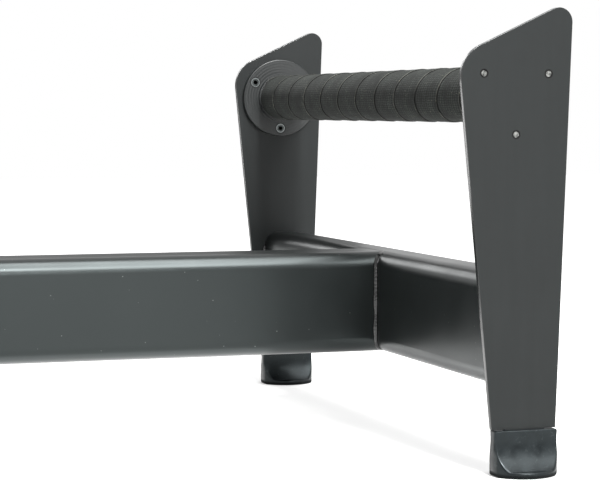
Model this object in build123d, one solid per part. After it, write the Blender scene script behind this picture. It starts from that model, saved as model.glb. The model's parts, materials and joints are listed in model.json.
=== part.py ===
from build123d import *
import os
from math import radians, sqrt, tan

# Low parallel bars: a grip bar at each end of a floor frame, at right angles to
# the rail that joins the two ends. All sizes are in millimetres.
# X runs along the rail, Y along the grips, Z up. The origin is on the floor,
# under the middle of the rail. The right front quarter is modelled and mirrored.

# ---- driving dimensions ----
grip_spacing = 640.0        # between the two grip axes
grip_height = 265.0         # grip axis above the floor
clear_width = 524.0         # between the side plates of one end

# side plates: flat steel, wider at the top, standing in the feet
plate_thickness = 4.0
plate_width_at_grip = 80.5
plate_base_width = 48.5
plate_base_shift = 7.3      # the base stands further out than the grip
plate_base_height = 32.5    # shoulders above the floor
plate_rise = 46.0           # sloping top edge, straight above the grip axis
plate_top_slope = 25.0      # degrees, up and away from the rail
plate_high_corner = 10.0
plate_low_corner = 25.0
tang_width = 30.0
tang_depth = 22.0           # how far the plate reaches down into its foot

# rubber feet: round plan with two flats, scooped front and back to a thin web
foot_seam = 0.5             # between the foot and the plate's shoulders
foot_width = 46.0
foot_depth = 41.0
foot_shift = 8.2            # the foot stands further out than the grip
foot_side_flat = 12.4
foot_top_thickness = 11.6
foot_waist = 9.8            # thinnest place of the scooped web
foot_rim = 4.0              # height of the toes
foot_scoop_radius = 28.0

# welded base: rail and cross tubes of rounded box section
tube_height = 80.0
tube_bottom = 61.0
tube_corner = 12.0
tube_wall = 3.0
rail_width = 60.0
rail_cope = 8.0             # how far the rail's ends wrap the cross tubes' corners
cross_width = 40.0
cross_shift = 6.7           # the cross tube lies further out than the grip
rail_weld = 4.0             # leg of each weld bead
plate_weld = 3.0

# grips: tube with a flange at each end, wound with cloth tape
grip_tube_diameter = 38.0
grip_tube_wall = 3.0
flange_diameter = 70.0
flange_thickness = 5.0
flange_weld = 4.0           # leg of the fillet weld between flange and tube
tape_thickness = 1.5
tape_end_gap = 0.2          # between the tape and each weld

# flange screws: countersunk socket heads, tapped into the side plates
screw_circle = 56.0
screw_count = 3
screw_start_angle = 30.0
screw_diameter = 5.0
screw_head_diameter = 9.2
screw_head_angle = 100.0    # degrees, of the whole cone
screw_socket = 3.0          # across the flats
screw_socket_depth = 2.0
screw_fit = 0.1             # radial
screw_end_inset = 0.2       # below the plate's outer face

# ---- places that follow from them ----
grip_x = grip_spacing / 2
cross_x = grip_x + cross_shift
cross_face_x = cross_x - cross_width / 2
tube_mid_height = tube_bottom + tube_height / 2
plate_face_y = clear_width / 2
plate_outer_y = plate_face_y + plate_thickness
flange_face_y = plate_face_y - flange_thickness
weld_end_y = flange_face_y - flange_weld
weld_height = tube_height - 2 * tube_corner
foot_height = plate_base_height - foot_seam
pocket_floor = plate_base_height - tang_depth
middle_low = (Align.CENTER, Align.CENTER, Align.MIN)


def facing_front(x, y, z):
    """Upright plane with X to the right, Z up and its normal towards the front."""
    return Plane(origin=(x, y, z), x_dir=(1, 0, 0), z_dir=(0, -1, 0))


def to_left(shape):
    return mirror(shape, about=Plane.YZ)


def to_back(shape):
    return mirror(shape, about=Plane.XZ)


# ---- welded base ----
def rounded_box(width, height, corner):
    section = Rectangle(width, height)
    return fillet(section.vertices(), corner)


def box_tube(plane, width, length, hollow=True):
    """Rounded box section, extruded both ways from the plane."""
    section = rounded_box(width, tube_height, tube_corner)
    if hollow:
        inside = 2 * tube_wall
        section -= rounded_box(width - inside, tube_height - inside, tube_corner - tube_wall)
    return extrude(plane * section, length / 2, both=True)


def cross_tube(hollow=True):
    return box_tube(facing_front(cross_x, 0, tube_mid_height), cross_width, clear_width, hollow)


def main_rail():
    """Rail with both ends coped round the cross tubes' rounded corners."""
    plane = Plane(origin=(0, 0, tube_mid_height), x_dir=(0, 1, 0), z_dir=(1, 0, 0))
    rail = box_tube(plane, rail_width, 2 * (cross_face_x + rail_cope))
    envelope = cross_tube(hollow=False)
    return rail - envelope - to_left(envelope)


def weld_bead(x, y, leg, x_side, y_side):
    """Fillet weld in the upright corner at (x, y), towards the given sides."""
    along_x = (x + x_side * leg, y)
    along_y = (x, y + y_side * leg)
    outline = Polyline(along_x, (x, y), along_y, close=True)
    return extrude(Pos(0, 0, tube_bottom + tube_corner) * make_face(outline), weld_height)


def rail_weld_bead():
    return weld_bead(cross_face_x, -rail_width / 2, rail_weld, -1, -1)


def plate_weld_beads():
    """Both upright corners between the cross tube's front end and its side plate."""
    sides = (-1, 1)
    edges = [cross_x + side * cross_width / 2 for side in sides]
    return [weld_bead(x, -plate_face_y, plate_weld, side, 1) for x, side in zip(edges, sides)]


# ---- side plates ----
def plate_corner(side):
    """Where a plate's leaning edge meets its sloping top edge, as (x, z)."""
    base_x = plate_base_shift + side * plate_base_width / 2
    grip_edge_x = side * plate_width_at_grip / 2
    lean = (grip_edge_x - base_x) / (grip_height - plate_base_height)
    slope = tan(radians(plate_top_slope))
    x = (grip_edge_x + lean * plate_rise) / (1 - lean * slope)
    return (grip_x + x, grip_height + plate_rise + slope * x)


def plate_outline():
    base_x = grip_x + plate_base_shift
    tang_x = grip_x + foot_shift
    corners = [
        (base_x - plate_base_width / 2, plate_base_height),
        (tang_x - tang_width / 2, plate_base_height),
        (tang_x - tang_width / 2, pocket_floor),
        (tang_x + tang_width / 2, pocket_floor),
        (tang_x + tang_width / 2, plate_base_height),
        (base_x + plate_base_width / 2, plate_base_height),
        plate_corner(+1),
        plate_corner(-1),
    ]
    outline = make_face(Polyline(*corners, close=True))
    outline = fillet(outline.vertices().sort_by(Axis.Y)[-1], plate_high_corner)
    return fillet(outline.vertices().sort_by(Axis.X)[0], plate_low_corner)


def screw_places(y):
    """Axes of the right front flange's screws, pointing out through the plate."""
    circle = PolarLocations(screw_circle / 2, screw_count, screw_start_angle)
    return [facing_front(grip_x, y, grip_height) * place for place in circle]


def side_plate():
    plate = extrude(facing_front(0, -plate_face_y, 0) * plate_outline(), plate_thickness)
    hole = Cylinder(screw_diameter / 2 + screw_fit, 3 * plate_thickness)
    for place in screw_places(-plate_outer_y):
        plate -= place * hole
    return plate


# ---- rubber feet ----
def foot_plan():
    half, flat, toe = foot_width / 2, foot_side_flat / 2, foot_depth / 2
    outline = Line((-half, -flat), (-half, flat))
    outline += ThreePointArc((-half, flat), (0, toe), (half, flat))
    outline += Line((half, flat), (half, -flat))
    outline += ThreePointArc((half, -flat), (0, -toe), (-half, -flat))
    return make_face(outline)


def rubber_foot():
    """Foot under the right front plate, whose tang fills its pocket."""
    foot = extrude(foot_plan(), foot_height)

    # Each scoop is part of a level cylinder, thinnest just below the top edge.
    bulge = (foot_top_thickness - foot_waist) / 2
    waist_drop = sqrt(foot_scoop_radius**2 - (foot_scoop_radius - bulge) ** 2)
    scoop = Rot(0, 90, 0) * Cylinder(foot_scoop_radius, 2 * foot_width)
    toes = Box(3 * foot_width, 4 * foot_depth, foot_rim + foot_height, align=middle_low)
    for side in (-1, 1):
        scoop_y = side * (foot_waist / 2 + foot_scoop_radius)
        foot -= Pos(0, scoop_y, foot_height - waist_drop) * scoop - Pos(0, 0, -foot_height) * toes

    pocket = Box(tang_width, plate_thickness, foot_height, align=middle_low)
    foot -= Pos(0, 0, pocket_floor) * pocket
    return Pos(grip_x + foot_shift, -plate_face_y - plate_thickness / 2, 0) * foot


# ---- grips ----
def screw_solid(grow, socket_depth):
    """Countersunk screw along +Z from its head's face, or its seat when grown."""
    head, shank = screw_head_diameter / 2 + grow, screw_diameter / 2 + grow
    length = flange_thickness + plate_thickness - screw_end_inset
    head_depth = (head - shank) / tan(radians(screw_head_angle / 2))
    profile = Polyline(
        (0, 0), (head, 0), (shank, head_depth), (shank, length), (0, length), close=True
    )
    screw = revolve(Plane.XZ * make_face(profile), Axis.Z)
    if socket_depth > 0:
        hexagon = RegularPolygon(screw_socket / 2, 6, major_radius=False)
        screw -= extrude(hexagon, socket_depth)
    return screw


def flange_screws():
    screw = screw_solid(0, screw_socket_depth)
    return [place * screw for place in screw_places(-flange_face_y)]


def grip_flange():
    """Flange with its weld to the tube and countersunk seats for its screws."""
    tube = grip_tube_diameter / 2
    bore, rim = tube - grip_tube_wall, flange_diameter / 2
    face, top = flange_thickness, flange_thickness + flange_weld
    profile = Polyline(
        (bore, 0), (rim, 0), (rim, face), (tube + flange_weld, face), (tube, top), (bore, top),
        close=True,
    )
    inward = Plane(origin=(grip_x, -plate_face_y, grip_height), x_dir=(1, 0, 0), z_dir=(0, 1, 0))
    flange = inward * revolve(Plane.XZ * make_face(profile), Axis.Z)
    seat = screw_solid(screw_fit, 0)
    for place in screw_places(-flange_face_y):
        flange -= place * seat
    return flange


def grip_bar():
    """Tube with a flange welded on at each end."""
    outer = grip_tube_diameter / 2
    ring = Circle(outer) - Circle(outer - grip_tube_wall)
    tube = extrude(facing_front(grip_x, 0, grip_height) * ring, plate_face_y, both=True)
    flange = grip_flange()
    return tube + flange + to_back(flange)


def grip_tape():
    """Sleeve of tape round the grip tube, from weld to weld."""
    inner = grip_tube_diameter / 2
    ring = Circle(inner + tape_thickness) - Circle(inner)
    middle = facing_front(grip_x, 0, grip_height)
    return extrude(middle * ring, weld_end_y - tape_end_gap, both=True)


# ---- write the parts ----
def save(name, *shapes):
    solids = [solid for shape in shapes for solid in shape.solids()]
    piece = solids[0] if len(solids) == 1 else Compound(children=solids)
    piece.label = name
    export_step(piece, f"parts/{name}.step")


def save_quarters(name, *shapes):
    """One node in each quarter of the frame."""
    save(f"right_front_{name}", *shapes)
    save(f"right_back_{name}", *[to_back(shape) for shape in shapes])
    save(f"left_front_{name}", *[to_left(shape) for shape in shapes])
    save(f"left_back_{name}", *[to_left(to_back(shape)) for shape in shapes])


def save_ends(name, *shapes):
    """One node at each end of the frame."""
    save(f"right_{name}", *shapes)
    save(f"left_{name}", *[to_left(shape) for shape in shapes])


def front_and_back(*shapes):
    return [*shapes, *[to_back(shape) for shape in shapes]]


os.makedirs("parts", exist_ok=True)
save("main_rail", main_rail())
save_ends("cross_tube", cross_tube())
save_ends("grip_bar", grip_bar())
save_ends("grip_tape", grip_tape())
save_ends("flange_screws", *front_and_back(*flange_screws()))
save_ends("feet", *front_and_back(rubber_foot()))
save_quarters("side_plate", side_plate())
save_quarters("rail_weld", rail_weld_bead())
save_quarters("plate_welds", *plate_weld_beads())
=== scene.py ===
import json
import math
import bmesh
import bpy
from mathutils import Matrix, Vector, noise

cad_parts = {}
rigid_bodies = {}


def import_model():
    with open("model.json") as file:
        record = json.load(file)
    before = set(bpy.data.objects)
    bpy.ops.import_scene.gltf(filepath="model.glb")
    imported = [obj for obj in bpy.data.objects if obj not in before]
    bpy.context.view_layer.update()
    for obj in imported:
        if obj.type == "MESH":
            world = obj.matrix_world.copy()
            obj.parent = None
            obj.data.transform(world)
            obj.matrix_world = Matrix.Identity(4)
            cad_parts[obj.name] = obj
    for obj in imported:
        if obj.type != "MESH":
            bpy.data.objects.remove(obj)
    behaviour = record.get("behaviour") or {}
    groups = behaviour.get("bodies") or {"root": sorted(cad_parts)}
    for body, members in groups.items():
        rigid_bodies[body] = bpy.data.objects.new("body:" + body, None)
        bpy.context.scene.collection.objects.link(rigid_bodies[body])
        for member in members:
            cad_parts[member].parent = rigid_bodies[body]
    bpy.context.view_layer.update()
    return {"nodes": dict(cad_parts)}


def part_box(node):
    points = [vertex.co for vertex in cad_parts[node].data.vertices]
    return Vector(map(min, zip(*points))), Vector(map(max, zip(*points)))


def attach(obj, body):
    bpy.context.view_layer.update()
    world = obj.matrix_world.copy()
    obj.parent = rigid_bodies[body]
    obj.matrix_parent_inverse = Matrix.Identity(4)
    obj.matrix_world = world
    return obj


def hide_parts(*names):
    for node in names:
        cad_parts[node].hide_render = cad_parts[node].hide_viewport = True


# Low parallel bars: a taped grip bar at each end of a welded floor frame.
# The scene is in metres, X along the rail, Y along the grips, Z up. Names that end in Mm hold millimetres.
for old in list(bpy.data.objects):  # the default cube, lamp and camera
    bpy.data.objects.remove(old)
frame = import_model()
mm = 0.001
gripLow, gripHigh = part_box("right_grip_bar")
gripX, gripZ = (gripLow.x + gripHigh.x) / 2, (gripLow.z + gripHigh.z) / 2
flangeFace, plateFace = gripHigh.y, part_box("right_back_side_plate")[1].y
print("frame loaded")


def linearColour(hexCode):
    channels = [int(hexCode[i:i + 2], 16) / 255 for i in (1, 3, 5)]
    return [c / 12.92 if c <= 0.04045 else ((c + 0.055) / 1.055) ** 2.4 for c in channels] + [1.0]


def addNode(tree, kind, settings=None, values=None, links=None):
    node = tree.nodes.new("ShaderNode" + kind)
    for name, value in (settings or {}).items():
        setattr(node, name, value)
    for name, value in (values or {}).items():
        node.inputs[name].default_value = value
    for name, socket in (links or {}).items():
        tree.links.new(socket, node.inputs[name])
    return node


def perMetre(sizeMm):
    return 1000 / sizeMm  # texture scale that repeats once in sizeMm


def newMaterial(name):
    material = bpy.data.materials.new(name)
    material.use_nodes = True
    tree = material.node_tree
    tree.nodes.clear()
    return material, tree


def addPiece(name, bm, material, replaced=()):
    mesh = bpy.data.meshes.new(name)
    bmesh.ops.recalc_face_normals(bm, faces=bm.faces)
    bm.to_mesh(mesh)
    bm.free()
    mesh.materials.append(material)
    piece = bpy.data.objects.new(name, mesh)
    bpy.context.scene.collection.objects.link(piece)
    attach(piece, "root")
    if replaced:
        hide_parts(*replaced)
    return piece


def dress(nodeName, material):
    mesh = frame["nodes"][nodeName].data
    for i in range(len(mesh.materials)):
        mesh.materials[i] = material


# Polyester powder coat, sprayed on the steel tubes and baked: deep black semi-gloss.
# The melt never levels fully, so a faint orange peel softens every reflection, and a little dust lies on it.
# Roughness here and below stays all above or all below 0.27: denoising draws squiggles where it crosses that.
tubeCoat = {"colour": "#080a0a", "lift": "#0d0f0f", "tint": "#f2ffff", "cloudMm": 60.0, "glossiest": 0.28,
            "mattest": 0.35, "peelMm": 2.6, "peelDepthMm": 0.01, "dust": "#8f918f", "dustMm": 9.0,
            "dustCore": 0.03, "dustRim": 0.05, "dustShow": 0.6}


def makeTubeCoat():
    coat = tubeCoat
    material, tree = newMaterial("tubePolyesterPowderCoat")
    place = addNode(tree, "TexCoord").outputs["Object"]
    cloud = addNode(tree, "TexNoise", values={"Scale": perMetre(coat["cloudMm"]), "Detail": 3.0},
                    links={"Vector": place})
    tone = addNode(tree, "MixRGB", values={1: linearColour(coat["colour"]), 2: linearColour(coat["lift"])},
                   links={0: cloud.outputs["Fac"]})
    speck = addNode(tree, "TexVoronoi", values={"Scale": perMetre(coat["dustMm"])}, links={"Vector": place})
    isSpeck = addNode(tree, "MapRange", values={1: coat["dustCore"], 2: coat["dustRim"], 3: coat["dustShow"],
                                                4: 0.0}, links={0: speck.outputs["Distance"]})
    dusty = addNode(tree, "MixRGB", values={2: linearColour(coat["dust"])},
                    links={0: isSpeck.outputs[0], 1: tone.outputs[0]})
    gloss = addNode(tree, "MapRange", values={1: 0.3, 2: 0.7, 3: coat["glossiest"], 4: coat["mattest"]},
                    links={0: cloud.outputs["Fac"]})
    peel = addNode(tree, "TexNoise", values={"Scale": perMetre(coat["peelMm"]), "Detail": 2.0},
                   links={"Vector": place})
    bump = addNode(tree, "Bump", values={"Strength": 1.0, "Distance": coat["peelDepthMm"] * mm},
                   links={"Height": peel.outputs["Fac"]})
    shader = addNode(tree, "BsdfPrincipled", values={"IOR": 1.5, "Specular Tint": linearColour(coat["tint"])},
                     links={"Base Color": dusty.outputs[0], "Roughness": gloss.outputs[0],
                            "Normal": bump.outputs[0]})
    addNode(tree, "OutputMaterial", links={"Surface": shader.outputs[0]})
    return material


# Where a point lies seen along the grip: its distance from the grip's axis and from the nearest of the
# three screws. A third of a turn is folded onto the next, so one screw stands for all three.
screwPlan = {"circleMm": 56.0, "firstDeg": 30.0, "stepDeg": 120.0}


def screwDistances(tree, place):
    axes = addNode(tree, "SeparateXYZ", links={0: place})
    side = addNode(tree, "Math", {"operation": "ABSOLUTE"}, links={0: axes.outputs["X"]})
    across = addNode(tree, "Math", {"operation": "SUBTRACT"}, {1: gripX}, {0: side.outputs[0]})
    up = addNode(tree, "Math", {"operation": "SUBTRACT"}, {1: gripZ}, {0: axes.outputs["Z"]})
    spoke = addNode(tree, "CombineXYZ", links={"X": across.outputs[0], "Y": up.outputs[0]})
    fromGrip = addNode(tree, "VectorMath", {"operation": "LENGTH"}, links={0: spoke.outputs[0]})
    radius = fromGrip.outputs["Value"]
    angle = addNode(tree, "Math", {"operation": "ARCTAN2"}, links={0: up.outputs[0], 1: across.outputs[0]})
    halfStep = math.radians(screwPlan["stepDeg"] / 2)
    turned = addNode(tree, "Math", {"operation": "ADD"}, {1: halfStep - math.radians(screwPlan["firstDeg"])},
                     {0: angle.outputs[0]})
    folded = addNode(tree, "Math", {"operation": "FLOORED_MODULO"}, {1: 2 * halfStep}, {0: turned.outputs[0]})
    offset = addNode(tree, "Math", {"operation": "SUBTRACT"}, {1: halfStep}, {0: folded.outputs[0]})
    cosine = addNode(tree, "Math", {"operation": "COSINE"}, links={0: offset.outputs[0]})
    sine = addNode(tree, "Math", {"operation": "SINE"}, links={0: offset.outputs[0]})
    along = addNode(tree, "Math", {"operation": "MULTIPLY"}, links={0: radius, 1: cosine.outputs[0]})
    ahead = addNode(tree, "Math", {"operation": "SUBTRACT"}, {1: screwPlan["circleMm"] / 2 * mm},
                    {0: along.outputs[0]})
    beside = addNode(tree, "Math", {"operation": "MULTIPLY"}, links={0: radius, 1: sine.outputs[0]})
    nearest = addNode(tree, "CombineXYZ", links={"X": ahead.outputs[0], "Y": beside.outputs[0]})
    reach = addNode(tree, "VectorMath", {"operation": "LENGTH"}, links={0: nearest.outputs[0]})
    return radius, reach.outputs["Value"]


# Fine-texture powder coat, sprayed on the laser-cut plates: satin dark grey.
# Its tight sand grain scatters the light, so the plates look flat grey beside the glossier tubes.
# Upright wipe marks cloud it a little, and a dark ring is painted round each screw: painted shade in the gap
# between screw and hole.
plateCoat = {"colour": "#151818", "lift": "#1b1e1e", "roughness": 0.45, "roughnessSwing": 0.04,
             "specular": 0.27, "grainMm": 0.8, "grainDepthMm": 0.015, "cloudMm": 45.0, "wipeMm": 7.0,
             "wipeStretch": 0.1, "gapShade": "#040404", "gapShadeShow": 0.95, "gapShadeInnerMm": 3.0, "gapShadeOuterMm": 3.4,
             "turnedMm": 0.0, "turnedDepthMm": 0.0}
# The coat melts smoother and glossier round the plates' cut edges.
edgeCoat = dict(plateCoat, roughness=0.23, specular=0.6)
# The grip's tube and flanges wear the same coat over turned steel, so faint lathe rings show on the flanges.
# On the flanges the dark ring round each screw head is painted shade in the gap round the head.
gripCoat = dict(plateCoat, roughness=0.4, specular=0.5, cloudMm=25.0, gapShadeInnerMm=4.75, gapShadeOuterMm=5.2,
                turnedMm=2.6, turnedDepthMm=0.025)
# A hand-run MIG bead under black coat: the coat draws thin and shiny over its crest.
weldCoat = dict(plateCoat, colour="#080909", lift="#181a1a", roughness=0.23, specular=0.6, grainMm=6.0,
                cloudMm=9.0)


def makePlateCoat(name, coat):
    material, tree = newMaterial(name)
    place = addNode(tree, "TexCoord").outputs["Object"]
    cloud = addNode(tree, "TexNoise", values={"Scale": perMetre(coat["cloudMm"]), "Detail": 4.0},
                    links={"Vector": place})
    drawn = addNode(tree, "VectorMath", {"operation": "MULTIPLY"}, {1: (1.0, 1.0, coat["wipeStretch"])},
                    {0: place})
    wipe = addNode(tree, "TexNoise", values={"Scale": perMetre(coat["wipeMm"]), "Detail": 3.0},
                   links={"Vector": drawn.outputs[0]})
    half = addNode(tree, "Math", {"operation": "MULTIPLY"}, {1: 0.5}, {0: cloud.outputs["Fac"]})
    both = addNode(tree, "Math", {"operation": "MULTIPLY_ADD"}, {1: 0.5},
                   {0: wipe.outputs["Fac"], 2: half.outputs[0]})
    spread = addNode(tree, "MapRange", values={1: 0.3, 2: 0.7}, links={0: both.outputs[0]})
    tone = addNode(tree, "MixRGB", values={1: linearColour(coat["colour"]), 2: linearColour(coat["lift"])},
                   links={0: spread.outputs[0]})
    radius, reach = screwDistances(tree, place)
    # Painted shade: a dark, matt ring round each screw, in the gap between screw and hole.
    gapShade = addNode(tree, "MapRange", values={1: coat["gapShadeInnerMm"] * mm, 2: coat["gapShadeOuterMm"] * mm,
                                            3: coat["gapShadeShow"], 4: 0.0}, links={0: reach})
    colour = addNode(tree, "MixRGB", values={2: linearColour(coat["gapShade"])},
                     links={0: gapShade.outputs[0], 1: tone.outputs[0]})
    grain = addNode(tree, "TexNoise",
                    values={"Scale": perMetre(coat["grainMm"]), "Detail": 2.0, "Roughness": 0.6},
                    links={"Vector": place})
    bump = addNode(tree, "Bump", values={"Strength": 1.0, "Distance": coat["grainDepthMm"] * mm},
                   links={"Height": grain.outputs["Fac"]})
    if coat["turnedMm"]:
        turns = addNode(tree, "Math", {"operation": "MULTIPLY"},
                        {1: 2 * math.pi * perMetre(coat["turnedMm"])}, {0: radius})
        rings = addNode(tree, "Math", {"operation": "SINE"}, links={0: turns.outputs[0]})
        bump = addNode(tree, "Bump", values={"Strength": 1.0, "Distance": coat["turnedDepthMm"] * mm},
                       links={"Height": rings.outputs[0], "Normal": bump.outputs[0]})
    gloss = addNode(tree, "MapRange", values={1: 0.0, 2: 1.0, 3: coat["roughness"] + coat["roughnessSwing"],
                                              4: coat["roughness"] - coat["roughnessSwing"]},
                    links={0: spread.outputs[0]})
    matt = addNode(tree, "Math", {"operation": "MAXIMUM"}, links={0: gloss.outputs[0], 1: gapShade.outputs[0]})
    shader = addNode(tree, "BsdfPrincipled", values={"IOR": 1.5, "Specular IOR Level": coat["specular"]},
                     links={"Base Color": colour.outputs[0], "Roughness": matt.outputs[0],
                            "Normal": bump.outputs[0]})
    addNode(tree, "OutputMaterial", links={"Surface": shader.outputs[0]})
    return material


# Steel countersunk screws. The heads are black-oxide finished, with a painted highlight on the bevelled rim,
# and painted shade in the socket and in the gap round each head;
# the cut thread ends that come through the plates are bare steel, bruised and dull silver, with painted shade
# in the hole round them.
screwSteel = {"head": "#5b5f5f", "headDark": "#323535", "rim": "#7d8181", "socket": "#050505",
              "bare": "#9a9b98", "bareDark": "#3c3d3c", "roughness": 0.38, "socketMm": 1.9, "rimMm": 3.7,
              "rimHighlightHalfMm": 0.3, "headGapShadeMm": 4.35, "bareMm": 1.95, "bareFadeMm": 0.25, "endDepthMm": 1.0,
              "mottleMm": 1.3, "bruiseMm": 0.03}


def makeScrewSteel():
    steel = screwSteel
    material, tree = newMaterial("blackOxideScrewSteel")
    place = addNode(tree, "TexCoord").outputs["Object"]
    mottle = addNode(tree, "TexNoise", values={"Scale": perMetre(steel["mottleMm"]), "Detail": 4.0},
                     links={"Vector": place})
    spread = addNode(tree, "MapRange", values={1: 0.35, 2: 0.65}, links={0: mottle.outputs["Fac"]})
    reach = screwDistances(tree, place)[1]
    head = addNode(tree, "MixRGB",
                   values={1: linearColour(steel["headDark"]), 2: linearColour(steel["head"])},
                   links={0: spread.outputs[0]})
    # A light ring on the head's bevelled rim: a painted highlight.
    onRimHighlight = addNode(tree, "Math", {"operation": "COMPARE"},
                    {1: steel["rimMm"] * mm, 2: steel["rimHighlightHalfMm"] * mm}, {0: reach})
    rimHighlighted = addNode(tree, "MixRGB", values={2: linearColour(steel["rim"])},
                     links={0: onRimHighlight.outputs[0], 1: head.outputs[0]})
    # Black inside the socket and outside the head's edge: painted shade in the socket and in the gap round
    # the head.
    inSocketShade = addNode(tree, "Math", {"operation": "LESS_THAN"}, {1: steel["socketMm"] * mm}, {0: reach})
    inHeadGapShade = addNode(tree, "Math", {"operation": "GREATER_THAN"}, {1: steel["headGapShadeMm"] * mm}, {0: reach})
    inPaintedShade = addNode(tree, "Math", {"operation": "MAXIMUM"},
                     links={0: inSocketShade.outputs[0], 1: inHeadGapShade.outputs[0]})
    headToneLitAndShaded = addNode(tree, "MixRGB", values={2: linearColour(steel["socket"])},
                       links={0: inPaintedShade.outputs[0], 1: rimHighlighted.outputs[0]})
    bare = addNode(tree, "MixRGB",
                   values={1: linearColour(steel["bareDark"]), 2: linearColour(steel["bare"])},
                   links={0: spread.outputs[0]})
    # Black beyond the bare thread end: painted shade in the hole round it.
    past = addNode(tree, "MapRange",
                   values={1: steel["bareMm"] * mm, 2: (steel["bareMm"] + steel["bareFadeMm"]) * mm},
                   links={0: reach})
    endToneWithGapShade = addNode(tree, "MixRGB", values={2: linearColour(steel["socket"])},
                      links={0: past.outputs[0], 1: bare.outputs[0]})
    axes = addNode(tree, "SeparateXYZ", links={0: place})
    depth = addNode(tree, "Math", {"operation": "ABSOLUTE"}, links={0: axes.outputs["Y"]})
    isEnd = addNode(tree, "Math", {"operation": "GREATER_THAN"}, {1: plateFace - steel["endDepthMm"] * mm},
                    {0: depth.outputs[0]})
    colour = addNode(tree, "MixRGB",
                     links={0: isEnd.outputs[0], 1: headToneLitAndShaded.outputs[0], 2: endToneWithGapShade.outputs[0]})
    bump = addNode(tree, "Bump", values={"Strength": 1.0, "Distance": steel["bruiseMm"] * mm},
                   links={"Height": mottle.outputs["Fac"]})
    shader = addNode(tree, "BsdfPrincipled", values={"Metallic": 1.0, "Roughness": steel["roughness"]},
                     links={"Base Color": colour.outputs[0], "Normal": bump.outputs[0]})
    addNode(tree, "OutputMaterial", links={"Surface": shader.outputs[0]})
    return material


# Black cotton grip tape, plain woven and rubber-proofed: matt, with a criss-cross of threads, worn patches,
# pale chalk and lint caught in it, a pale edge on each lap, partly frayed fibres and partly a painted
# highlight, and a painted shade line where the lap goes under the next one.
# The real threads are 0.5 mm apart; they are drawn coarser, and wider along the bar, so that they show.
tapeCloth = {"colour": "#141614", "crown": "#434844", "lapShade": "#080808", "chalk": "#a3a191",
             "frayAndEdgeHighlight": "#6f706a", "aroundMm": 1.9, "alongMm": 4.2, "threadDepthMm": 0.12, "roughness": 0.85,
             "specular": 0.15, "sheen": 0.03, "sheenRoughness": 0.5, "lapMm": 43.0, "lapShadeMm": 1.9,
             "frayMm": 1.8, "patchMm": 16.0, "lintMm": 3.4, "lintSize": 0.1, "lintShow": 0.5,
             "wobbleScale": 0.22, "wobbleMm": (2.6, 5.0, 0.0)}


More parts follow.
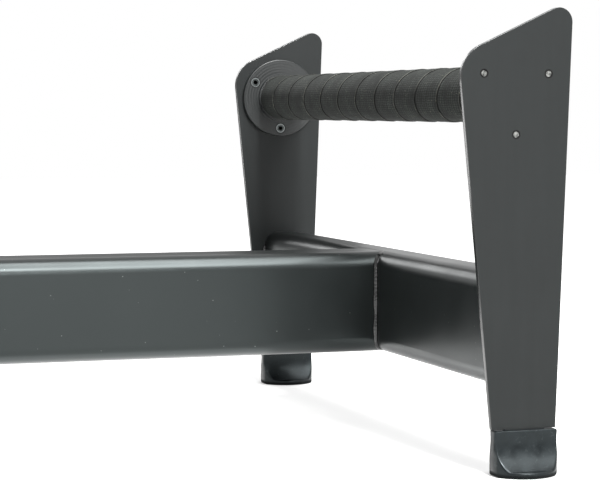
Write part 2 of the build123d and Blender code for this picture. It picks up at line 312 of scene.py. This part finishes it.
def makeTapeCloth():
    cotton = tapeCloth
    material, tree = newMaterial("wovenCottonGripTape")
    strip = addNode(tree, "UVMap", {"uv_map": "stripMillimetres"})
    lap = addNode(tree, "UVMap", {"uv_map": "lapPlace"})
    place = addNode(tree, "TexCoord").outputs["Object"]
    wobble = addNode(tree, "TexNoise", values={"Scale": cotton["wobbleScale"], "Detail": 3.0},
                     links={"Vector": strip.outputs[0]})
    bent = addNode(tree, "VectorMath", {"operation": "MULTIPLY_ADD"}, {1: cotton["wobbleMm"]},
                   {0: wobble.outputs["Color"], 2: strip.outputs[0]})
    phases = addNode(tree, "VectorMath", {"operation": "MULTIPLY"},
                     {1: (2 * math.pi / cotton["aroundMm"], 2 * math.pi / cotton["alongMm"], 0.0)},
                     {0: bent.outputs[0]})
    uv = addNode(tree, "SeparateXYZ", links={0: phases.outputs[0]})
    warp = addNode(tree, "Math", {"operation": "COSINE"}, links={0: uv.outputs["X"]})
    weft = addNode(tree, "Math", {"operation": "COSINE"}, links={0: uv.outputs["Y"]})
    weave = addNode(tree, "Math", {"operation": "ADD"}, links={0: warp.outputs[0], 1: weft.outputs[0]})
    crown = addNode(tree, "MapRange", values={1: -0.9, 2: 1.9}, links={0: weave.outputs[0]})
    patch = addNode(tree, "TexNoise",
                    values={"Scale": perMetre(cotton["patchMm"]), "Detail": 6.0, "Roughness": 0.65},
                    links={"Vector": place})
    wear = addNode(tree, "MapRange", values={1: 0.36, 2: 0.66, 3: 0.2, 4: 1.3},
                   links={0: patch.outputs["Fac"]})
    thread = addNode(tree, "Math", {"operation": "MULTIPLY"}, links={0: crown.outputs[0], 1: wear.outputs[0]})
    cloth = addNode(tree, "MixRGB",
                    values={1: linearColour(cotton["colour"]), 2: linearColour(cotton["crown"])},
                    links={0: thread.outputs[0]})
    # lapPlace.x is the place across a lap: 0 at its free edge, 1 where it goes under the next one.
    across = addNode(tree, "SeparateXYZ", links={0: lap.outputs[0]}).outputs["X"]
    frayShare = cotton["frayMm"] / cotton["lapMm"]
    atEdge = addNode(tree, "MapRange", values={1: 0.2 * frayShare, 2: frayShare, 3: 1.0, 4: 0.0},
                     links={0: across})
    ragged = addNode(tree, "MapRange", values={1: 0.4, 2: 0.6, 3: 0.1, 4: 0.9},
                     links={0: patch.outputs["Fac"]})
    # The pale edge stands for frayed fibres and for a painted highlight where the cut edge catches the light.
    frayAndHighlightMask = addNode(tree, "Math", {"operation": "MULTIPLY"},
                     links={0: atEdge.outputs[0], 1: ragged.outputs[0]})
    frayedAndLit = addNode(tree, "MixRGB", values={2: linearColour(cotton["frayAndEdgeHighlight"])},
                    links={0: frayAndHighlightMask.outputs[0], 1: cloth.outputs[0]})
    # Lint: small stars, more of them beside the laps and where the cloth is worn.
    lint = addNode(tree, "TexVoronoi", values={"Scale": perMetre(cotton["lintMm"])}, links={"Vector": place})
    size = addNode(tree, "Math", {"operation": "MULTIPLY_ADD"}, {1: cotton["lintSize"], 2: 0.02},
                   {0: wear.outputs[0]})
    wide = addNode(tree, "Math", {"operation": "MULTIPLY_ADD"}, {1: cotton["lintSize"]},
                   {0: atEdge.outputs[0], 2: size.outputs[0]})
    isLint = addNode(tree, "Math", {"operation": "LESS_THAN"},
                     links={0: lint.outputs["Distance"], 1: wide.outputs[0]})
    faint = addNode(tree, "Math", {"operation": "MULTIPLY"}, {1: cotton["lintShow"]}, {0: isLint.outputs[0]})
    chalky = addNode(tree, "MixRGB", values={2: linearColour(cotton["chalk"])},
                     links={0: faint.outputs[0], 1: frayedAndLit.outputs[0]})
    # A painted shade line where the lap goes under the next one.
    lapShadeShare = cotton["lapShadeMm"] / cotton["lapMm"]
    underLapShade = addNode(tree, "MapRange", values={1: 1 - lapShadeShare, 2: 1 - 0.4 * lapShadeShare}, links={0: across})
    lapShaded = addNode(tree, "MixRGB", values={2: linearColour(cotton["lapShade"])},
                    links={0: underLapShade.outputs[0], 1: chalky.outputs[0]})
    bump = addNode(tree, "Bump", values={"Strength": 1.0, "Distance": cotton["threadDepthMm"] * mm},
                   links={"Height": thread.outputs[0]})
    shader = addNode(tree, "BsdfPrincipled",
                     values={"Roughness": cotton["roughness"], "Specular IOR Level": cotton["specular"],
                             "Sheen Weight": cotton["sheen"], "Sheen Roughness": cotton["sheenRoughness"]},
                     links={"Base Color": lapShaded.outputs[0], "Normal": bump.outputs[0]})
    addNode(tree, "OutputMaterial", links={"Surface": shader.outputs[0]})
    return material


# Compression-moulded rubber feet: smooth from the mould, with a grey bloom, scuffs, and grit in the flanks.
# Towards the sole's edge the rubber turns black and matt: the black is a painted shadow where the sole meets
# the floor.
footRubber = {"colour": "#05080a", "bloom": "#0f1315", "scuff": "#3c4243", "soleShadow": "#020202",
              "tint": "#e8f5f8", "glossiest": 0.28, "mattest": 0.42, "specular": 0.31, "bloomMm": 9.0,
              "scuffMm": 3.5, "scuffShow": 0.5, "grainMm": 1.0, "grainDepthMm": 0.03, "soleShadowMm": 2.0,
              "soleShadowFadeMm": 4.2, "soleShadowShow": 0.95}


def makeFootRubber():
    rubber = footRubber
    material, tree = newMaterial("mouldedFootRubber")
    place = addNode(tree, "TexCoord").outputs["Object"]
    cloud = addNode(tree, "TexNoise", values={"Scale": perMetre(rubber["bloomMm"]), "Detail": 5.0},
                    links={"Vector": place})
    spread = addNode(tree, "MapRange", values={1: 0.35, 2: 0.65}, links={0: cloud.outputs["Fac"]})
    tone = addNode(tree, "MixRGB",
                   values={1: linearColour(rubber["colour"]), 2: linearColour(rubber["bloom"])},
                   links={0: spread.outputs[0]})
    worn = addNode(tree, "TexNoise", values={"Scale": perMetre(rubber["scuffMm"]), "Detail": 6.0,
                                             "Roughness": 0.7, "Distortion": 1.2}, links={"Vector": place})
    isScuff = addNode(tree, "MapRange", values={1: 0.57, 2: 0.69, 3: 0.0, 4: rubber["scuffShow"]},
                      links={0: worn.outputs["Fac"]})
    scuffed = addNode(tree, "MixRGB", values={2: linearColour(rubber["scuff"])},
                      links={0: isScuff.outputs[0], 1: tone.outputs[0]})
    gloss = addNode(tree, "MapRange", values={1: 0.0, 2: 1.0, 3: rubber["glossiest"], 4: rubber["mattest"]},
                    links={0: spread.outputs[0]})
    height = addNode(tree, "SeparateXYZ", links={0: place}).outputs["Z"]
    # Painted shadow near the floor: black towards the sole's edge.
    soleShadowMask = addNode(tree, "MapRange", values={1: rubber["soleShadowMm"] * mm, 2: rubber["soleShadowFadeMm"] * mm,
                                              3: rubber["soleShadowShow"], 4: 0.0}, links={0: height})
    soleShadowed = addNode(tree, "MixRGB", values={2: linearColour(rubber["soleShadow"])},
                     links={0: soleShadowMask.outputs[0], 1: scuffed.outputs[0]})
    matt = addNode(tree, "Math", {"operation": "MAXIMUM"}, links={0: gloss.outputs[0], 1: soleShadowMask.outputs[0]})
    grain = addNode(tree, "TexNoise", values={"Scale": perMetre(rubber["grainMm"]), "Detail": 3.0},
                    links={"Vector": place})
    bump = addNode(tree, "Bump", values={"Strength": 1.0, "Distance": rubber["grainDepthMm"] * mm},
                   links={"Height": grain.outputs["Fac"]})
    shader = addNode(tree, "BsdfPrincipled", values={"IOR": 1.52, "Specular IOR Level": rubber["specular"],
                                                     "Specular Tint": linearColour(rubber["tint"])},
                     links={"Base Color": soleShadowed.outputs[0], "Roughness": matt.outputs[0],
                            "Normal": bump.outputs[0]})
    addNode(tree, "OutputMaterial", links={"Surface": shader.outputs[0]})
    return material


tubePowder = makeTubeCoat()
platePowder = makePlateCoat("platePowderCoatFineTexture", plateCoat)
edgePowder = makePlateCoat("plateEdgePowderCoat", edgeCoat)
gripPowder = makePlateCoat("turnedGripPowderCoat", gripCoat)
weldPowder = makePlateCoat("coatedWeldBead", weldCoat)
screwMetal = makeScrewSteel()
tapeFabric = makeTapeCloth()
footMoulded = makeFootRubber()
dress("main_rail", tubePowder)
for end in ("right", "left"):
    dress(end + "_cross_tube", tubePowder)
    dress(end + "_flange_screws", screwMetal)
print("materials made, tubes and screws dressed")

# The side plates are laser cut and the flanges turned; the coat rounds their edges, so both get eased copies.
# The fillet weld of a grip bar is nearly all under the tape's end, so its toes are drawn in to the shown leg.
easing = {"plateMm": 0.6, "rimMm": 0.8, "segments": 3, "weldLegMm": 4.0, "shownLegMm": 2.2}
flange = {"thicknessMm": 5.0, "tubeRadiusMm": 19.0, "toesFromMm": 200.0}
flatSide = 0.999  # how much of its normal a flat side's face has along Y
near = 0.1 * mm


def cleanCopy(nodeName):
    bm = bmesh.new()
    bm.from_mesh(frame["nodes"][nodeName].data)
    bmesh.ops.remove_doubles(bm, verts=bm.verts, dist=1e-6)
    bmesh.ops.dissolve_limit(bm, angle_limit=math.radians(0.2), verts=bm.verts, edges=bm.edges)
    return bm


def easeEdges(bm, edges, width):
    bmesh.ops.bevel(bm, geom=edges, offset=width * mm, segments=easing["segments"], profile=0.5,
                    affect="EDGES", clamp_overlap=True)
    for face in bm.faces:
        face.smooth = abs(face.normal.y) < flatSide
    for edge in bm.edges:
        edge.smooth = len(edge.link_faces) != 2 or edge.calc_face_angle() < math.radians(38)


def easedPlate(nodeName):
    bm = cleanCopy(nodeName)
    corners = [edge for edge in bm.edges if edge.calc_face_angle(0) > math.radians(40)]
    easeEdges(bm, corners, easing["plateMm"])
    for face in bm.faces:  # the cut edges wear the glossier coat, in the second material slot
        face.material_index = 1 if abs(face.normal.y) < flatSide else 0
    piece = addPiece(nodeName + "_eased", bm, platePowder, [nodeName])
    piece.data.materials.append(edgePowder)


def easedGripBar(nodeName, centreX):
    def spokeTo(vert):
        return Vector((vert.co.x - centreX, 0, vert.co.z - gripZ))

    bm = cleanCopy(nodeName)
    low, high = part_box(nodeName)
    rimRadius = (high.z - low.z) / 2
    shrink = (easing["weldLegMm"] - easing["shownLegMm"]) * mm
    insideY = flangeFace - (flange["thicknessMm"] + 0.5) * mm
    tubeRadius = min(spokeTo(vert).length for vert in bm.verts if abs(vert.co.y) < insideY)
    for vert in bm.verts:
        spoke = spokeTo(vert)
        if abs(spoke.length - tubeRadius - easing["weldLegMm"] * mm) < near:
            spoke *= (spoke.length - shrink) / spoke.length
            vert.co.x, vert.co.z = centreX + spoke.x, gripZ + spoke.z
        elif abs(spoke.length - tubeRadius) < near and abs(vert.co.y) > flange["toesFromMm"] * mm:
            vert.co.y += math.copysign(shrink, vert.co.y)
    rims = [edge for edge in bm.edges if edge.calc_face_angle(0) > math.radians(80) and
            all(spokeTo(vert).length > rimRadius - near for vert in edge.verts)]
    easeEdges(bm, rims, easing["rimMm"])
    addPiece(nodeName + "_eased", bm, gripPowder, [nodeName])


for end, sideX in (("right", 1), ("left", -1)):
    easedGripBar(end + "_grip_bar", sideX * gripX)
    for quarter in ("front", "back"):
        easedPlate(f"{end}_{quarter}_side_plate")
print("plates and flanges eased")

# Wound grip tape: each turn laps over half of the one before, so the surface falls by one cloth's thickness
# across a turn and steps up again at the next edge.
tape = {"pitchMm": 43.0, "firstEdgeMm": 216.9, "columns": 96, "clothMm": 0.5, "wallMm": 1.5,
        "overhangMm": 1.8, "wanderMm": 0.8, "rippleMm": 0.12, "edgeDipMm": 0.12,
        "across": (0, 0.012, 0.03, 0.07, 0.14, 0.24, 0.36, 0.5, 0.64, 0.77, 0.88, 0.95, 0.98, 1.0)}


def tapeHeight(share, angle, y):
    fall = 1 - share * share * (3 - 2 * share)
    edgeDip = tape["edgeDipMm"] if share == 0 else 0.0
    ripple = noise.noise(Vector((math.cos(angle) * 2.1, math.sin(angle) * 2.1, y * 0.11)))
    crease = noise.noise(Vector((math.cos(angle) * 6.3, math.sin(angle) * 6.3, y * 0.21 + 40)))
    return fall * tape["clothMm"] - edgeDip + tape["rippleMm"] * (ripple + crease)


def wander(column):
    turn = column / tape["columns"]
    slow, quick = noise.noise(Vector((turn * 1.7, 3.1, 0))), noise.noise(Vector((turn * 6.3, 9.4, 2)))
    return tape["wanderMm"] * (slow + 0.6 * quick)


def woundTape(nodeName, side):
    low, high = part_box(nodeName)
    axisX, outer, end = (low.x + high.x) / 2, (high.z - low.z) / 2 / mm, high.y / mm + tape["overhangMm"]
    base = outer - tape["clothMm"] - 2 * tape["rippleMm"]
    columns, pitch, shares = tape["columns"], tape["pitchMm"], tape["across"]
    first, last = -int((tape["firstEdgeMm"] + end) / pitch + 2) * columns, 2 * columns
    bm = bmesh.new()
    stripUv = bm.loops.layers.uv.new("stripMillimetres")
    lapUv = bm.loops.layers.uv.new("lapPlace")
    rows, places = {}, {}
    for column in range(first, last + 1):
        angle = 2 * math.pi * column / columns
        edgeY = tape["firstEdgeMm"] + pitch * column / columns
        for i, share in enumerate(shares):
            y = edgeY + share * pitch + (1 - share) * wander(column) + share * wander(column + columns)
            radius = base + tapeHeight(share, angle, y)
            vert = bm.verts.new((axisX - side * math.cos(angle) * radius * mm, y * mm,
                                 gripZ - math.sin(angle) * radius * mm))
            rows[column, i] = vert
            places[vert] = (angle * outer, share * pitch, share)
    for column in range(first, last):
        for i in range(len(shares) - 1):
            face = bm.faces.new([rows[column, i], rows[column, i + 1],
                                 rows[column + 1, i + 1], rows[column + 1, i]])
            face.smooth = True
            for loop in face.loops:
                around, along, share = places[loop.vert]
                loop[stripUv].uv = (around, along)
                loop[lapUv].uv = (share, 0.5)
        if column + columns < last:  # the cut edge of the next lap
            face = bm.faces.new([rows[column, len(shares) - 1], rows[column + 1, len(shares) - 1],
                                 rows[column + columns + 1, 0], rows[column + columns, 0]])
            for loop in face.loops:
                loop[stripUv].uv = places[loop.vert][:2]
                loop[lapUv].uv = (0.985, 0.5)
            face.edges[0].smooth = face.edges[2].smooth = False
    for sign in (-1, 1):  # both ends are cut off square
        everything = bm.verts[:] + bm.edges[:] + bm.faces[:]
        bmesh.ops.bisect_plane(bm, geom=everything, plane_co=(0, sign * end * mm, 0), plane_no=(0, sign, 0),
                               clear_outer=True, dist=1e-7)
    for sign in (-1, 1):  # and turned down to the tube
        rim = [edge for edge in bm.edges
               if edge.is_boundary and edge.verts[0].co.y * sign > (end - 0.01) * mm]
        for edge in rim:
            edge.smooth = False
        grown = bmesh.ops.extrude_edge_only(bm, edges=rim)["geom"]
        for vert in [g for g in grown if isinstance(g, bmesh.types.BMVert)]:
            outward = Vector((vert.co.x - axisX, 0, vert.co.z - gripZ)).normalized()
            spoke = outward * (outer - tape["wallMm"]) * mm
            vert.co = (axisX + spoke.x, vert.co.y, gripZ + spoke.z)
    bmesh.ops.remove_doubles(bm, verts=bm.verts, dist=1e-6)
    bmesh.ops.bridge_loops(bm, edges=[edge for edge in bm.edges if edge.is_boundary])
    addPiece(nodeName + "_wound", bm, tapeFabric, [nodeName])


woundTape("right_grip_tape", 1)
woundTape("left_grip_tape", -1)
print("grips taped")

# Hand-run MIG beads: low ripples every few millimetres, a little wavy at both toes.
bead = {"rippleMm": 3.0, "rippleDepth": 0.05, "waver": 0.3, "stepMm": 0.5, "crown": 0.45, "facets": 8,
        "railShare": 0.66, "plateShare": 0.8, "tubeCornerMm": 12.0, "cornerSteps": 16, "cornerDeg": 80.0,
        "flangeProudMm": 0.12, "flangeSteps": 300}


def beadScale(alongMm, seed):
    saw = (alongMm / bead["rippleMm"] + 0.35 * noise.noise(Vector((alongMm * 0.12, seed, 0)))) % 1.0
    crest = 1 - (2 * saw - 1) ** 2
    waver = bead["waver"] * noise.noise(Vector((alongMm * 0.09, seed, 5)))
    return 1 - bead["rippleDepth"] * (1 - crest) + waver


def layBead(bm, corners, toeA, toeB, leg, seed):
    # corners are the points of the seam; the bead reaches leg along toeA and toeB from each of them
    sections, travelled = [], 0.0
    lengths = [(b - a).length for a, b in zip(corners, corners[1:])] + [0.0]
    total = sum(lengths)
    for corner, length in zip(corners, lengths):
        fromEnd = min(travelled, total - travelled) / mm
        reach = leg * min(1.0, 0.3 + 0.7 * math.sqrt(fromEnd / 3)) * beadScale(travelled / mm, seed)
        ring = [bm.verts.new(corner)]
        for i in range(bead["facets"] + 1):
            t = i / bead["facets"]
            crown = 1 + bead["crown"] * 4 * t * (1 - t)
            ring.append(bm.verts.new(corner + reach * crown * ((1 - t) * toeA + t * toeB)))
        sections.append(ring)
        travelled += length
    for lower, upper in zip(sections, sections[1:]):
        for i in range(len(lower)):
            j = (i + 1) % len(lower)
            bm.faces.new([lower[i], lower[j], upper[j], upper[i]]).smooth = 0 < i < len(lower) - 1
    bm.faces.new(sections[0])
    bm.faces.new(sections[-1])


def railSeam(faceX, sideX, sideY, halfWidth, bottom, top):
    # up one side of the rail and over both corners, where its end is coped to the cross tube's corners
    corner, turns = bead["tubeCornerMm"] * mm, bead["cornerSteps"]
    sweep = [math.radians(bead["cornerDeg"]) * (1 - i / turns) for i in range(turns + 1)]
    points = [(faceX + corner * (1 - math.cos(a)), halfWidth - corner * (1 - math.cos(a)),
               bottom + corner * (1 - math.sin(a))) for a in sweep]
    straight = top - bottom - 2 * corner
    steps = int(straight / (bead["stepMm"] * mm))
    points += [(faceX, halfWidth, bottom + corner + straight * i / steps) for i in range(1, steps)]
    points += [(x, y, bottom + top - z) for x, y, z in reversed(points[:turns + 1])]
    return [Vector((sideX * x, sideY * y, z)) for x, y, z in points]


def flangeBead(end, sideX, sideY):
    leg, tubeRadius = easing["shownLegMm"], flange["tubeRadiusMm"]
    faceY = flangeFace / mm - flange["thicknessMm"]
    ripples = round(2 * math.pi * (tubeRadius + leg / 2) / bead["rippleMm"])
    bm = bmesh.new()
    rings = []
    for step in range(bead["flangeSteps"]):
        turn = step / bead["flangeSteps"]
        angle = 2 * math.pi * turn
        crest = 1 - (2 * ((ripples * turn) % 1.0) - 1) ** 2
        soft = noise.noise(Vector((math.cos(angle) * 1.7, math.sin(angle) * 1.7, sideY * 3.0 + sideX)))
        proud = bead["flangeProudMm"] * (0.6 + 0.4 * crest + 0.5 * soft)
        profile = [(tubeRadius - 0.3, -0.3), (tubeRadius + leg + 0.1, -0.3)]  # sunk 0.3 mm into the steel
        for i in range(7):
            t = i / 6
            lift = 0.03 + proud * math.sin(math.pi * t)
            profile.append((tubeRadius + leg * (1 - t) + lift, leg * t + lift))
        profile.append((tubeRadius - 0.3, leg))
        rings.append([bm.verts.new((sideX * gripX + math.cos(angle) * r * mm, sideY * (faceY - y) * mm,
                                    gripZ + math.sin(angle) * r * mm)) for r, y in profile])
    for a, b in zip(rings, rings[1:] + rings[:1]):
        for i in range(len(a)):
            j = (i + 1) % len(a)
            bm.faces.new([a[i], a[j], b[j], b[i]]).smooth = True
    addPiece(f"{end}_{'front' if sideY < 0 else 'back'}_flange_weld", bm, weldPowder)


railLow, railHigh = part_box("main_rail")
for end, sideX in (("right", 1), ("left", -1)):
    tubeLow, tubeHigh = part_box(end + "_cross_tube")
    innerX, outerX = sorted((abs(tubeLow.x), abs(tubeHigh.x)))
    for quarter, sideY in (("front", -1), ("back", 1)):
        railNode = f"{end}_{quarter}_rail_weld"
        low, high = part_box(railNode)
        seam = railSeam(innerX, sideX, sideY, railHigh.y, railLow.z, railHigh.z)
        bm = bmesh.new()
        layBead(bm, seam, Vector((-sideX, 0, 0)), Vector((0, sideY, 0)), bead["railShare"] * (high.x - low.x),
                3 * sideX + sideY)
        addPiece(railNode + "_bead", bm, weldPowder, [railNode])
        plateNode = f"{end}_{quarter}_plate_welds"
        low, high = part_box(plateNode)
        leg, plateY = high.y - low.y, max(abs(low.y), abs(high.y))
        steps = int((high.z - low.z) / (bead["stepMm"] * mm))
        bm = bmesh.new()
        for faceX, outward in ((innerX, -1), (outerX, 1)):
            seam = [Vector((sideX * faceX, sideY * plateY, low.z + (high.z - low.z) * i / steps))
                    for i in range(steps + 1)]
            layBead(bm, seam, Vector((sideX * outward, 0, 0)), Vector((0, -sideY, 0)),
                    bead["plateShare"] * leg, 11 * sideX + 5 * sideY + outward)
        addPiece(plateNode + "_bead", bm, weldPowder, [plateNode])
        flangeBead(end, sideX, sideY)
print("welds laid")

# Moulded rubber feet: an oval block round each plate's end, scooped in front and behind above a low rim.
foot = {"widthMm": 46.0, "depthMm": 41.0, "flatMm": 12.4, "topMm": 11.6, "waistMm": 9.8, "rimMm": 4.0,
        "scoopMm": 28.0, "topRoundMm": 1.2, "softMm": 0.9, "soleRoundMm": 2.2, "across": 40, "levels": 34,
        "roundSteps": 5}


def footSection(z, height, inset):
    # half of the plan at height z: the oval's arc, cut off by the scoop
    half, flat, toe = foot["widthMm"] / 2, foot["flatMm"] / 2, foot["depthMm"] / 2
    ovalRadius = (half ** 2 + (toe - flat) ** 2) / (2 * (toe - flat))
    scoop, swell = foot["scoopMm"], (foot["topMm"] - foot["waistMm"]) / 2
    rise = height - math.sqrt(scoop ** 2 - (scoop - swell) ** 2) - z
    limit = foot["depthMm"]
    if z > foot["rimMm"] and abs(rise) < scoop:
        limit = foot["waistMm"] / 2 + scoop - math.sqrt(scoop ** 2 - rise ** 2)
    points = []
    for i in range(foot["across"] + 1):
        x = -(half - inset) * math.cos(math.pi * i / foot["across"])
        arc = toe - ovalRadius + math.sqrt(ovalRadius ** 2 - x ** 2)
        nearness = 1 - min(abs(arc - limit) / foot["softMm"], 1.0)
        points.append((x, min(arc, limit) - foot["softMm"] * 0.25 * nearness ** 2 - inset))
    return points


def mouldedFeet(end):
    low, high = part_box(end + "_feet")
    height = (high.z - low.z) / mm
    centreX, centreY = (low.x + high.x) / 2, high.y - foot["depthMm"] / 2 * mm
    rim, soleRound, topRound = foot["rimMm"], foot["soleRoundMm"], foot["topRoundMm"]
    quarterTurn = [math.pi / 2 * i / foot["roundSteps"] for i in range(foot["roundSteps"] + 1)]
    levels = [(soleRound * (1 - math.cos(a)), soleRound * (1 - math.sin(a)) * 0.8) for a in quarterTurn]
    levels += [(rim - 0.5, 0.0), (rim, 0.15)]
    levels += [(rim + (height - topRound - rim) * (i / foot["levels"]) ** 1.35, 0.0)
               for i in range(1, foot["levels"] + 1)]
    levels += [(height - topRound * (1 - math.sin(a)), topRound * (1 - math.cos(a))) for a in quarterTurn[1:]]
    bm = bmesh.new()
    for sideY in (-1, 1):
        rings = []
        for z, inset in levels:
            edge = footSection(z, height, inset)
            loop = [(x, -y) for x, y in edge] + [(x, y) for x, y in reversed(edge)]
            rings.append([bm.verts.new((centreX + x * mm, sideY * centreY + y * mm, low.z + z * mm))
                          for x, y in loop])
        for a, b in zip(rings, rings[1:]):
            for i in range(len(a)):
                j = (i + 1) % len(a)
                bm.faces.new([a[i], a[j], b[j], b[i]]).smooth = True
        bm.faces.new(rings[0])
        bm.faces.new(rings[-1])
    for edge in bm.edges:
        edge.smooth = edge.calc_face_angle(0) < math.radians(50)
    addPiece(end + "_feet_moulded", bm, footMoulded, [end + "_feet"])


mouldedFeet("right")
mouldedFeet("left")
print("feet moulded")

# A white paper floor under a big softbox. A lamp high in front, in line with the right grip, throws its
# shadow straight down the far plate, and a low one fills the front. Two softboxes behind draw the lines of
# light along the tubes' top corners, and a strip at the left edges the metal. Two panels flat on the table
# show in gloss only, in the rail's lower corner and the plates' left edges.
studio = {"floor": "#c6c6c5", "halfWidth": 6.0, "ambient": 0.1, "glowNear": 0.85, "glowFrom": 0.6,
          "glowTo": 2.2, "contactShadow": 0.008, "card": "#101010", "cardLeft": -0.12, "cardRight": 0.75,
          "cardTop": 0.4, "cardY": 1.2}
lamps = {  # place, aim, width and depth in metres, power in watts
    "topSoftbox": ((0.63, -0.85, 1.85), (0.5, 0.0, 0.1), 0.6, 2.4, 70.0),
    "gripLamp": ((0.335, -5.0, 4.2), (0.33, 0.0, 0.2), 0.5, 0.6, 430.0),
    "frontLamp": ((0.38, -3.2, 0.85), (0.33, 0.0, 0.2), 0.58, 0.3, 17.0),
    "backSoftbox": ((-0.6, 4.0, 1.42), (0.33, -0.1, 0.13), 0.72, 0.7, 6.8),
    "backWing": ((0.11, 4.0, 1.7), (0.33, -0.1, 0.13), 0.7, 0.6, 7.2),
    "leftStrip": ((-2.2, -0.6, 0.5), (0.3, -0.03, 0.12), 0.5, 0.7, 4.0)}
tablePanels = {
    "tableUnderRail": ((-0.06, 0.015, 0.002), (-0.06, 0.015, 1.0), 0.6, 0.17, 0.42),
    "tableBehind": ((-1.075, 3.4, 0.002), (-1.075, 3.4, 1.0), 1.65, 4.8, 90.0)}


def throughLens(tree):
    # camera, mirror and glass rays see the white background, so that gloss and glass show it too
    path = addNode(tree, "LightPath")
    seen = addNode(tree, "Math", {"operation": "MAXIMUM"},
                   links={0: path.outputs["Is Camera Ray"], 1: path.outputs["Is Glossy Ray"]})
    return addNode(tree, "Math", {"operation": "MAXIMUM"},
                   links={0: seen.outputs[0], 1: path.outputs["Is Transmission Ray"]}).outputs[0]


def addStage(name, corners, material):
    mesh = bpy.data.meshes.new(name)
    mesh.from_pydata(corners, [], [range(len(corners))])
    mesh.materials.append(material)
    sheet = bpy.data.objects.new(name, mesh)
    bpy.context.scene.collection.objects.link(sheet)
    return sheet


def makeFloor():
    material, tree = newMaterial("paleStudioFloor")
    paper = addNode(tree, "BsdfDiffuse", values={"Color": linearColour(studio["floor"])})
    # Further out, where the lamps fade, the paper's own white takes over so that no horizon shows.
    place = addNode(tree, "TexCoord").outputs["Object"]
    away = addNode(tree, "VectorMath", {"operation": "LENGTH"}, links={0: place})
    white = addNode(tree, "MapRange",
                    values={1: studio["glowFrom"], 2: studio["glowTo"], 3: studio["glowNear"], 4: 1.0},
                    links={0: away.outputs["Value"]})
    # Ambient occlusion darkens that white in the narrow gap where a foot's rounded sole leaves the paper: a
    # painted contact shadow.
    nearness = addNode(tree, "AmbientOcclusion", {"samples": 8}, {"Distance": studio["contactShadow"]})
    shaded = addNode(tree, "Math", {"operation": "MULTIPLY"},
                     links={0: white.outputs[0], 1: nearness.outputs["AO"]})
    glow = addNode(tree, "Emission", values={"Color": (1, 1, 1, 1)}, links={"Strength": shaded.outputs[0]})
    lit = addNode(tree, "AddShader", links={0: paper.outputs[0], 1: glow.outputs[0]})
    surface = addNode(tree, "MixShader", links={0: throughLens(tree), 1: paper.outputs[0], 2: lit.outputs[0]})
    addNode(tree, "OutputMaterial", links={"Surface": surface.outputs[0]})
    half = studio["halfWidth"]
    floor = addStage("studioFloor", [(-half, -half, 0), (half, -half, 0), (half, half, 0), (-half, half, 0)],
                     material)
    floor.location.z = -0.0002  # just under the soles


def makeCard():
    # a black card low behind the frame, seen in gloss only, draws the tubes' top edges dark
    material, tree = newMaterial("blackFlagCard")
    card = addNode(tree, "BsdfDiffuse", values={"Color": linearColour(studio["card"])})
    addNode(tree, "OutputMaterial", links={"Surface": card.outputs[0]})
    left, right, top, y = (studio["card" + side] for side in ("Left", "Right", "Top", "Y"))
    flag = addStage("blackFlag", [(left, y, 0.01), (right, y, 0.01), (right, y, top), (left, y, top)],
                    material)
    flag.visible_camera = flag.visible_diffuse = flag.visible_shadow = False


def makeWorld():
    world = bpy.data.worlds.new("paleStudio")
    bpy.context.scene.world = world
    world.use_nodes = True
    tree = world.node_tree
    tree.nodes.clear()
    ambient = addNode(tree, "Background", values={"Color": (1, 1, 1, 1), "Strength": studio["ambient"]})
    white = addNode(tree, "Background", values={"Color": (1, 1, 1, 1), "Strength": 1.0})
    mixed = addNode(tree, "MixShader",
                    links={0: throughLens(tree), 1: ambient.outputs[0], 2: white.outputs[0]})
    addNode(tree, "OutputWorld", links={"Surface": mixed.outputs[0]})


def addLamp(name, place, aim, width, depth, power):
    lamp = bpy.data.lights.new(name, "AREA")
    lamp.shape = "RECTANGLE"
    lamp.size, lamp.size_y, lamp.energy = width, depth, power
    holder = bpy.data.objects.new(name, lamp)
    holder.location = place
    holder.rotation_euler = (Vector(aim) - Vector(place)).to_track_quat("-Z", "Y").to_euler()
    holder.visible_camera = False
    bpy.context.scene.collection.objects.link(holder)
    return holder


makeFloor()
makeCard()
makeWorld()
for name, settings in lamps.items():
    addLamp(name, *settings)
for name, settings in tablePanels.items():
    addLamp(name, *settings).visible_diffuse = False
print("studio lit")

# The camera stands low in front of the frame and looks past the rail at the right end.
view = {"place": (-0.2881, -1.6045, 0.2538), "downDeg": 3.51, "turnDeg": -18.62, "rollDeg": 0.077,
        "lens": 127.2, "sensor": 36.0, "clip": (0.02, 50.0)}
camera = bpy.data.cameras.new("camera")
camera.lens, camera.sensor_width = view["lens"], view["sensor"]
camera.clip_start, camera.clip_end = view["clip"]
holder = bpy.data.objects.new("camera", camera)
turn = Matrix.Rotation(math.radians(view["turnDeg"]), 4, "Z")
tilt = Matrix.Rotation(math.radians(90 - view["downDeg"]), 4, "X")
roll = Matrix.Rotation(math.radians(view["rollDeg"]), 4, "Z")
holder.matrix_world = Matrix.Translation(view["place"]) @ turn @ tilt @ roll
bpy.context.scene.collection.objects.link(holder)
bpy.context.scene.camera = holder
bpy.context.scene.view_settings.view_transform = "Standard"
print("camera set")
